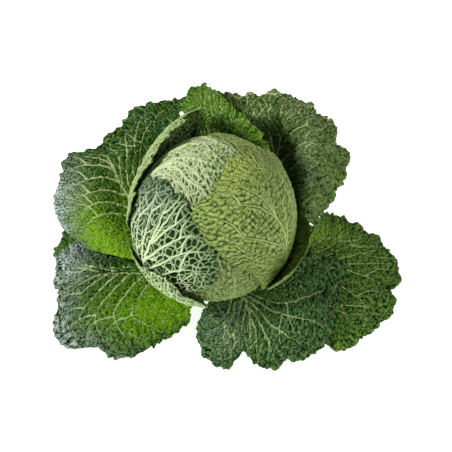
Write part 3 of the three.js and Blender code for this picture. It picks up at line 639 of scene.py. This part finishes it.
def leaf_relief(name, look, head, flat, points, rows, columns, rng):
    """Heights in mm towards the leaf's inner face, rib heights on its outer
    face, and the fields that its material reads."""
    seed = int(rng.integers(1, 10000))
    raster = Raster(flat)
    to_main = raster.read(raster.distances(main_veins(name, flat, rng), FAR), flat.x, flat.y)
    spot = np.stack([flat.x, flat.y * 0.8], -1)
    warp = np.stack([noise(spot, 9.0, seed), noise(spot, 9.0, seed + 1)], -1)
    warp += 0.35 * np.stack([noise(spot, 3.0, seed + 3), noise(spot, 3.0, seed + 4)], -1)
    large, small = look["cells"]
    coarse, _ = cell_edges(spot + 2.0 * warp, large, seed + 2)
    medium, cell_name = cell_edges(spot + 1.2 * warp, small, seed + 6)
    coarse = np.minimum(coarse, to_main)
    medium = np.minimum(medium, coarse)
    share = (flat.radius - flat.start) / (flat.rim - flat.start)
    grown = np.clip(share * 4 - 0.3, 0, 1)
    puff = blister(medium, small * 0.2)
    crumple = noise(points, 40.0, seed + 14) + 0.5 * noise(points, 17.0, seed + 15)
    frill = np.exp(-flat.margin / 8.0) * np.clip(share * 2 - 0.4, 0, 1)
    wave = noise(points, 13.0, seed + 16) + 0.6 * noise(points, 6.5, seed + 17)
    wave = wave + 0.3 * noise(points, 3.2, seed + 18)
    lift = look.get("lift", 0.0) * np.exp(-flat.margin / 4.0)
    if head and look.get("slits"):
        slim = spot * np.array([0.8, 1.25])
        bulge = puffed(slim, SLIT_PUFFS, seed + 10) * (0.3 + 0.7 * dome(to_main, 1.6))
        height = 0.3 - look["slits"] * bulge + 0.25 * crumple + look.get("frill", 0.5) * frill * wave
        height = height - lift
    elif head:
        pits = dome(medium, small * 0.22) * (0.5 + 0.5 * creased(spot, small * 0.6, seed + 10))
        height = 0.25 * dome(to_main, 6.0) + 0.25 * dome(coarse, 3.0) - 0.75
        height += look["puff"] * (0.5 * puff + 0.8 * pits)
        height = height * (0.4 + 0.6 * grown) + 0.25 * crumple
        height = height + look.get("frill", 0.5) * frill * wave - lift
    else:
        puffs = puffed(spot, OUTER_PUFFS, seed + 10)
        height = 3.4 * dome(to_main, 8.0) + 1.0 * blister(coarse, 2.2) - 4.0
        height += look["puff"] * (0.35 * puff + 0.7 * puffs)
        height = height * grown + 1.8 * crumple * np.clip(share * 2, 0, 1) + 4.0 * frill * wave
    rib = line(to_main, 1.3) * (1.1 if head else 1.5) + 0.3 * line(coarse, 0.9)
    fade = 1 - look.get("fade", 0) * np.clip(share * 2.5 - 1.4, 0, 1)
    netted = np.maximum(look["net"] * fade, spots(look.get("nets", []), rows, columns))
    reach = max(int(len(rows) * 3.0 / flat.rim.mean()), 1)
    if head and look.get("slits"):
        hollow = smoothed(bulge, reach) - bulge
        # Painted shade in the slits between the puffs.
        dark = np.clip(hollow * 3.6 + 0.35, 0, 1) * (0.7 + 0.3 * cell_name) * look["dark"]
        # Painted highlight on the crests between the slits.
        crest_highlight = look.get("crest_highlight", 0.6) * np.clip(-hollow * 2.0 - 0.1, 0, 1)
        glint = 1.0
    elif head:
        # Painted shade in the pits between the veins.
        dark = np.clip(2.4 * (pits - 0.3), 0, 1) * (0.6 + 0.4 * cell_name) * look["dark"]
        dark *= np.clip(share * 3 - 0.5, 0.2, 1)
        crest_highlight = np.zeros_like(dark)
        glint = 1 - 0.5 * puff
    else:
        hollow = smoothed(height, reach) - height
        # Painted shade in the hollows and creases, lighter under the tint patches.
        dark = np.clip(hollow * 2.6 + 0.35, 0, 1) * look["dark"]
        dark *= 1 - 0.45 * spots(look.get("tint_and_glow", []), rows, columns)
        # Painted highlight on the crests of the puffs.
        crest_highlight = look["crest_highlight"] * np.clip(-hollow * 1.2 - 0.3, 0, 1)
        # Painted glints: the bloom shows only on the crests, where highlights fall.
        glint = np.clip(-0.3 - hollow * 7.0, 0, 1.2)
    tone = share + 0.1 * noise(spot, 24.0, seed + 18) + 0.05 * noise(spot, 7.0, seed + 19)
    # Patches of waxy bloom with painted highlights on the margins that face the light.
    bloom_and_glint = spots(look.get("bloom_and_glint_spots", []), rows, columns)
    bloom_and_glint *= glint
    bloom_and_glint *= 0.45 + 0.55 * np.clip(noise(spot, 5.0, seed + 20) * 1.5 + 0.5, 0, 1)
    fields = {
        "tone": np.clip(tone, 0, 1),
        "main": np.clip(1 - to_main / VEIN_REACH, 0, 1),
        "net": np.clip(1 - np.minimum(coarse + 0.1, medium + look["thin"]) / VEIN_REACH, 0, 1),
        "netted": np.clip(netted, 0, 1),
        "crest_highlight": crest_highlight,
        "dark": np.clip(dark, 0, 1),
        "tint_and_glow": spots(look.get("tint_and_glow", []), rows, columns),
        "bloom_and_glint": np.clip(bloom_and_glint * look["bloom_and_glint"], 0, 1),
    }
    return height, rib, fields


def leaf_thickness(leaf, flat, share):
    if "layer" in leaf:
        thick = np.clip(HEAD_FOOT_THICKNESS - 6 * share, HEAD_BLADE_THICKNESS, HEAD_FOOT_THICKNESS)
        return thick * (1 - 0.5 * np.exp(-flat.margin / 1.5))
    aside = np.abs(flat.angle) / max(abs(flat.angle[0]), abs(flat.angle[-1]))
    thinned = np.clip(share * 2.6 + aside * 0.6, 0, 1)
    thick = PETIOLE_THICKNESS - (PETIOLE_THICKNESS - OUTER_BLADE_THICKNESS) * thinned
    return thick * (1 - 0.5 * np.exp(-flat.margin / 1.5))


def closed_sheet(name, shown, hidden, fields, shown_is_top):
    """One closed mesh: the side that shows at full detail, the other at half."""
    rows, columns = shown.shape[:2]
    index = np.arange(rows * columns).reshape(rows, columns)
    behind = hidden[::2, ::2]
    back = np.arange(behind.shape[0] * behind.shape[1]).reshape(behind.shape[:2]) + index.size
    order = (0, 1, 2, 3) if shown_is_top else (0, 3, 2, 1)
    fine = np.stack([index[:-1, :-1], index[1:, :-1], index[1:, 1:], index[:-1, 1:]], -1)
    rough = np.stack([back[:-1, :-1], back[:-1, 1:], back[1:, 1:], back[1:, :-1]], -1)
    rim = np.concatenate([index[0, :], index[1:, -1], index[-1, -2::-1], index[-2:0:-1, 0]])
    back_rim = np.concatenate([back[0, :], back[1:, -1], back[-1, -2::-1], back[-2:0:-1, 0]])
    p, m, q = rim[0::2], rim[1::2], np.roll(rim[0::2], -1)
    wall = np.stack([p, m, q, np.roll(back_rim, -1), back_rim], -1)
    if not shown_is_top:
        wall = wall[:, ::-1]
    loops = np.concatenate([fine[..., order].ravel(), rough[..., order].ravel(), wall.ravel()])
    quads = fine.size // 4 + rough.size // 4
    starts = np.concatenate([np.arange(quads) * 4, quads * 4 + np.arange(len(wall)) * 5])
    points = np.concatenate([shown.reshape(-1, 3), behind.reshape(-1, 3)]) * MM
    mesh = bpy.data.meshes.new(name)
    mesh.vertices.add(len(points))
    mesh.vertices.foreach_set("co", points.astype(np.float32).ravel())
    mesh.loops.add(len(loops))
    mesh.loops.foreach_set("vertex_index", loops.astype(np.int32))
    mesh.polygons.add(len(starts))
    mesh.polygons.foreach_set("loop_start", starts.astype(np.int32))
    mesh.polygons.foreach_set("use_smooth", np.ones(len(starts), bool))
    mesh.update(calc_edges=True)
    for label, values in fields.items():
        layer = mesh.attributes.new(label, "FLOAT", "POINT")
        both = np.concatenate([values.ravel(), values[::2, ::2].ravel()])
        layer.data.foreach_set("value", both.astype(np.float32))
    # The walls take no room on the chart: they use the shown side's rim.
    across, out = np.meshgrid(np.linspace(0, 1, columns), np.linspace(0, 1, rows))
    sheet = np.stack([0.005 + 0.655 * across, 0.005 + 0.99 * out], -1)
    rear = np.stack([0.67 + 0.325 * across, 0.005 + 0.99 * out], -1)[::2, ::2]
    chart = np.concatenate([sheet.reshape(-1, 2), rear.reshape(-1, 2)])[loops]
    on_rim = np.stack([p, m, q, q, p], -1)
    if not shown_is_top:
        on_rim = on_rim[:, ::-1]
    chart[quads * 4:] = sheet.reshape(-1, 2)[on_rim.ravel()]
    uv = mesh.uv_layers.new(name="OFBake")
    uv.data.foreach_set("uv", chart.astype(np.float32).ravel())
    piece = bpy.data.objects.new(name, mesh)
    bpy.context.scene.collection.objects.link(piece)
    return piece


def off_the_floor(points):
    """Bends what would go through the floor up onto it."""
    points = points.copy()
    z = points[..., 2] - FLOOR_GAP
    points[..., 2] = FLOOR_GAP + (z + np.hypot(z, 1.0)) / 2
    return points


def make_leaf(node, leaf, seed):
    rng = np.random.default_rng(seed)
    head = "layer" in leaf
    look = LOOKS[node] if head else {**OUTER_LOOK, **LOOKS[node]}
    rows, columns = leaf_grid(leaf, SPACING)
    points = leaf_surface(leaf, rows, columns)
    points = shape_margin(points, columns, rows, look, seed * 31)
    flat = Flat(points)
    share = (flat.radius - flat.start) / (flat.rim - flat.start)
    height, rib, fields = leaf_relief(node, look, head, flat, points, rows, columns, rng)
    _, _, normal = tangents(points)
    points = points + normal * height[..., None]
    _, _, bumpy = tangents(points)
    normal = normal * 0.6 + bumpy * 0.4
    normal /= np.linalg.norm(normal, axis=-1, keepdims=True)
    thick = leaf_thickness(leaf, flat, share)[..., None]
    top = off_the_floor(points + normal * thick / 2)
    bottom = off_the_floor(points - normal * (thick / 2 + rib[..., None]))
    shown, hidden = (bottom, top) if head else (top, bottom)
    piece = closed_sheet("savoy_" + node, shown, hidden, fields, not head)
    piece.data.materials.append(leaf_material(node, look, head))
    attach(piece, ROOT)
    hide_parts(node)


# ---------------------------------------------------------------- materials
def linear(code):
    """An sRGB colour such as 'a1b2c3' as linear red, green, blue, alpha."""
    parts = [int(code[k:k + 2], 16) / 255 for k in (0, 2, 4)]
    return tuple(p / 12.92 if p <= 0.04045 else ((p + 0.055) / 1.055) ** 2.4 for p in parts) + (1.0,)


class Nodes:
    """Short names for the shader nodes that the materials use."""

    def __init__(self, name):
        self.material = bpy.data.materials.new(name)
        self.material.use_nodes = True
        self.tree = self.material.node_tree
        self.shader = self.tree.nodes["Principled BSDF"]

    def link(self, value, socket):
        if hasattr(value, "is_linked"):
            self.tree.links.new(value, socket)
        else:
            socket.default_value = value

    def attribute(self, name):
        node = self.tree.nodes.new("ShaderNodeAttribute")
        node.attribute_name = name
        return node.outputs["Fac"]

    def math(self, operation, a, b=0.0, clamp=False):
        node = self.tree.nodes.new("ShaderNodeMath")
        node.operation = operation
        node.use_clamp = clamp
        self.link(a, node.inputs[0])
        self.link(b, node.inputs[1])
        return node.outputs[0]

    def mix(self, share, a, b, blend="MIX"):
        node = self.tree.nodes.new("ShaderNodeMix")
        node.data_type = "RGBA"
        node.blend_type = blend
        self.link(share, node.inputs["Factor"])
        self.link(a, node.inputs["A"])
        self.link(b, node.inputs["B"])
        return node.outputs["Result"]

    def ramp(self, value, stops):
        node = self.tree.nodes.new("ShaderNodeValToRGB")
        self.link(value, node.inputs["Fac"])
        ramp = node.color_ramp
        while len(ramp.elements) < len(stops):
            ramp.elements.new(0.5)
        for element, (place, colour) in zip(ramp.elements, stops):
            element.position = place
            element.color = colour
        return node.outputs["Color"]

    def noise(self, scale, detail=3.0, roughness=0.6):
        node = self.tree.nodes.new("ShaderNodeTexNoise")
        coordinates = self.tree.nodes.new("ShaderNodeTexCoord")
        self.tree.links.new(coordinates.outputs["Object"], node.inputs["Vector"])
        node.inputs["Scale"].default_value = scale
        node.inputs["Detail"].default_value = detail
        node.inputs["Roughness"].default_value = roughness
        return node.outputs["Fac"]

    def bump(self, height, strength, distance):
        node = self.tree.nodes.new("ShaderNodeBump")
        node.inputs["Strength"].default_value = strength
        node.inputs["Distance"].default_value = distance
        self.link(height, node.inputs["Height"])
        self.tree.links.new(node.outputs["Normal"], self.shader.inputs["Normal"])


def leaf_material(node, look, head):
    """Throat to rim colours with tint patches that are partly painted glow, painted shade
    in the hollows, grooves and fine grain, painted highlights on the crests, pale veins,
    and a waxy bloom with painted glints, all broken up by fine noise."""
    throat, middle, rim, tint_and_glow, vein, dark = (linear(code) for code in PALETTES[look["palette"]])
    n = Nodes("leaf_" + node)
    fine = n.noise(420.0, 3.0)
    broad = n.noise(70.0, 3.0)
    mottle = n.math("MULTIPLY", n.math("SUBTRACT", broad, 0.5), 0.5)
    tone = n.math("ADD", n.attribute("tone"), mottle, clamp=True)
    colour = n.ramp(tone, [(0.15, throat), (0.5, middle), (0.9, rim)])
    # Tint patches: partly the leaf's own yellow-green, partly painted glow of light through the leaf and
    # painted light in the head's shadow.
    colour = n.mix(n.attribute("tint_and_glow"), colour, tint_and_glow)
    # Painted shade in the fine grain: the same noise as the bump, darkened towards the hollow colour.
    painted_grain_shade = n.ramp(fine, [(0.45, (0, 0, 0, 1)), (0.7, (1, 1, 1, 1))])
    painted_grain_shade = n.math("MULTIPLY", painted_grain_shade, 0.1 if head else 0.4)
    # Painted shade: the dark colour laid into the hollows and into the fine grain.
    colour = n.mix(n.math("MAXIMUM", n.attribute("dark"), painted_grain_shade), colour, dark)
    net = n.ramp(n.attribute("net"), [(0.68, (0, 0, 0, 1)), (0.86, (1, 1, 1, 1))])
    net = n.math("MULTIPLY", net, n.attribute("netted"))
    main = n.ramp(n.attribute("main"), [(0.7, (0, 0, 0, 1)), (0.9, (1, 1, 1, 1))])
    main = n.math("MULTIPLY", main, look.get("main", 0.9))
    # Painted highlight on the crests: vein colour on head leaves, the tint colour on outer leaves.
    colour = n.mix(n.attribute("crest_highlight"), colour, vein if head else tint_and_glow)
    colour = n.mix(n.math("MAXIMUM", net, main), colour, vein)
    # Waxy bloom and painted glints, in bluish white.
    colour = n.mix(n.attribute("bloom_and_glint"), colour, linear(BLOOM_AND_GLINT))
    n.link(colour, n.shader.inputs["Base Color"])
    n.bump(fine, 0.9, 0.0015)
    n.link(n.math("ADD", 0.38, n.math("MULTIPLY", broad, 0.2)), n.shader.inputs["Roughness"])
    specular = n.math("ADD", 0.14 if head else 0.05, n.attribute("bloom_and_glint"))
    n.link(specular, n.shader.inputs["Specular IOR Level"])
    return n.material


def plain_material(name, codes, scale, roughness):
    n = Nodes(name)
    light, dark = (linear(code) for code in codes)
    pattern = n.noise(scale, 4.0)
    n.link(n.ramp(pattern, [(0.35, dark), (0.65, light)]), n.shader.inputs["Base Color"])
    n.bump(pattern, 0.4, 0.001)
    n.shader.inputs["Roughness"].default_value = roughness
    return n.material


# ---------------------------------------------------------------- heart, stem
def make_heart():
    """The tight ball of inner leaves, seen only through gaps."""
    rows = 110
    elevation = np.linspace(-89.5, 89.5, rows)[:, None]
    azimuth = np.linspace(0, 360, 2 * rows, endpoint=False)[None, :]
    unit = direction(azimuth + 0 * elevation, elevation + 0 * azimuth)
    spot = unit * 75
    edge = np.minimum(np.abs(noise(spot, 7.0, 71)), np.abs(noise(spot, 7.0, 72))) * 7
    puff = dome(edge, 1.2)
    points = on_head(unit, HEART_LIFT - HEART_GROOVE * puff)
    index = np.arange(rows * 2 * rows).reshape(rows, 2 * rows)
    nxt = np.roll(index, -1, axis=1)
    side = np.stack([index[:-1], nxt[:-1], nxt[1:], index[1:]], -1).reshape(-1, 4)
    mesh = bpy.data.meshes.new("savoy_heart")
    faces = [tuple(face) for face in side] + [tuple(index[0, ::-1]), tuple(index[-1])]
    mesh.from_pydata((points.reshape(-1, 3) * MM).tolist(), [], faces)
    mesh.polygons.foreach_set("use_smooth", np.ones(len(faces), bool))
    layer = mesh.attributes.new("puff", "FLOAT", "POINT")
    layer.data.foreach_set("value", puff.ravel().astype(np.float32))
    piece = bpy.data.objects.new("savoy_heart", mesh)
    bpy.context.scene.collection.objects.link(piece)
    n = Nodes("heart_leaf")
    colour = n.mix(n.attribute("puff"), linear("d5deb0"), linear("7d9448"))
    n.link(colour, n.shader.inputs["Base Color"])
    n.bump(n.noise(500.0), 0.3, 0.0006)
    n.shader.inputs["Roughness"].default_value = 0.5
    piece.data.materials.append(n.material)
    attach(piece, ROOT)
    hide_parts("heart")


def make_stem():
    """The cut stem: fluted, with leaf scars and a rough bark."""
    turns = 96
    along = np.linspace(2.5, CROWN_HEIGHT - 1.5, 26)
    heights = np.concatenate([[0.0, 0.4, 1.2], along, [CROWN_HEIGHT - 0.4]])
    share = np.clip((heights - STEM_NECK_HEIGHT) / (CROWN_HEIGHT - STEM_NECK_HEIGHT), 0, 1)
    radius = STEM_RADIUS + (CROWN_RADIUS - STEM_RADIUS) * share**1.1
    radius[:2] -= (1.0, 0.4)
    radius[-1] -= 1.0
    angle = np.linspace(0, 2 * math.pi, turns, endpoint=False)
    ring = np.stack([np.cos(angle), np.sin(angle)], -1)
    grain = ring * BARK_GRAIN_RADIUS
    places = np.stack(np.broadcast_arrays(grain[:, 0], grain[:, 1], heights[:, None]), -1)
    rough = 0.5 * noise(places, 6.0, 90) + 0.25 * noise(places, 2.5, 91) - 0.5
    scars = 0.6 * np.cos(heights[:, None] * 0.9 + 2 * np.sin(angle * 2)[None])
    reach = radius[:, None] + (rough + 0.4 * scars) * (heights > 1)[:, None] - 0.4
    x = reach * ring[:, 0]
    y = reach * ring[:, 1]
    z = np.broadcast_to(heights[:, None], x.shape)
    points = np.stack([x, y, z], -1).reshape(-1, 3) * MM
    index = np.arange(len(points)).reshape(x.shape)
    nxt = np.roll(index, -1, axis=1)
    side = np.stack([index[:-1], nxt[:-1], nxt[1:], index[1:]], -1).reshape(-1, 4)
    mesh = bpy.data.meshes.new("savoy_stem")
    faces = [tuple(face) for face in side] + [tuple(index[0, ::-1]), tuple(index[-1])]
    mesh.from_pydata(points.tolist(), [], faces)
    smooth = np.ones(len(faces), bool)
    smooth[-2:] = False
    mesh.polygons.foreach_set("use_smooth", smooth)
    piece = bpy.data.objects.new("savoy_stem", mesh)
    bpy.context.scene.collection.objects.link(piece)
    piece.data.materials.append(plain_material("stem_flesh", ("dfe3bd", "a9b27a"), 140.0, 0.6))
    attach(piece, ROOT)
    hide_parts("stem")


# ---------------------------------------------------------------- stage
def make_camera():
    data = bpy.data.cameras.new("camera")
    data.sensor_width = 36.0
    data.lens = CAMERA_LENS
    data.clip_end = 10.0
    camera = bpy.data.objects.new("camera", data)
    elevation = math.radians(CAMERA_ELEVATION)
    offset = Vector((0.0, -math.cos(elevation), math.sin(elevation))) * CAMERA_DISTANCE
    camera.location = CAMERA_AIM + offset
    camera.rotation_euler = (math.pi / 2 - elevation, 0.0, 0.0)
    bpy.context.scene.collection.objects.link(camera)
    bpy.context.scene.camera = camera


def make_light(name, place, size, power, colour):
    data = bpy.data.lights.new(name, "AREA")
    data.size = size
    data.energy = power
    data.color = colour
    light = bpy.data.objects.new(name, data)
    light.location = place
    aim = Vector((0, 0, 0.1)) - Vector(place)
    light.rotation_euler = aim.to_track_quat("-Z", "Y").to_euler()
    bpy.context.scene.collection.objects.link(light)


def make_stage():
    world = bpy.data.worlds.new("studio")
    world.use_nodes = True
    world.node_tree.nodes["Background"].inputs["Color"].default_value = (1.0, 1.0, 1.0, 1.0)
    world.node_tree.nodes["Background"].inputs["Strength"].default_value = 0.14
    bpy.context.scene.world = world
    bpy.context.scene.view_settings.view_transform = "Standard"
    make_light("key", (-0.95, -0.2, 1.05), 0.3, 13.5, (1.0, 0.99, 0.95))
    make_light("fill", (0.9, -0.7, 1.2), 1.0, 9.0, (0.97, 0.99, 1.0))
    mesh = bpy.data.meshes.new("floor")
    half = FLOOR_HALF_WIDTH
    corners = [(-half, -half, 0), (half, -half, 0), (half, half, 0), (-half, half, 0)]
    mesh.from_pydata(corners, [], [(0, 1, 2, 3)])
    floor = bpy.data.objects.new("floor", mesh)
    bpy.context.scene.collection.objects.link(floor)
    n = Nodes("floor_paper")
    n.shader.inputs["Base Color"].default_value = (0.93, 0.93, 0.93, 1.0)
    n.shader.inputs["Roughness"].default_value = 0.9
    n.shader.inputs["Emission Color"].default_value = (1.0, 1.0, 1.0, 1.0)
    n.shader.inputs["Emission Strength"].default_value = 0.8
    mesh.materials.append(n.material)


make_camera()
make_stage()
make_stem()
make_heart()
for number, (node, leaf) in enumerate({**HEAD_LEAVES, **OUTER_LEAVES}.items()):
    make_leaf(node, leaf, number + 1)
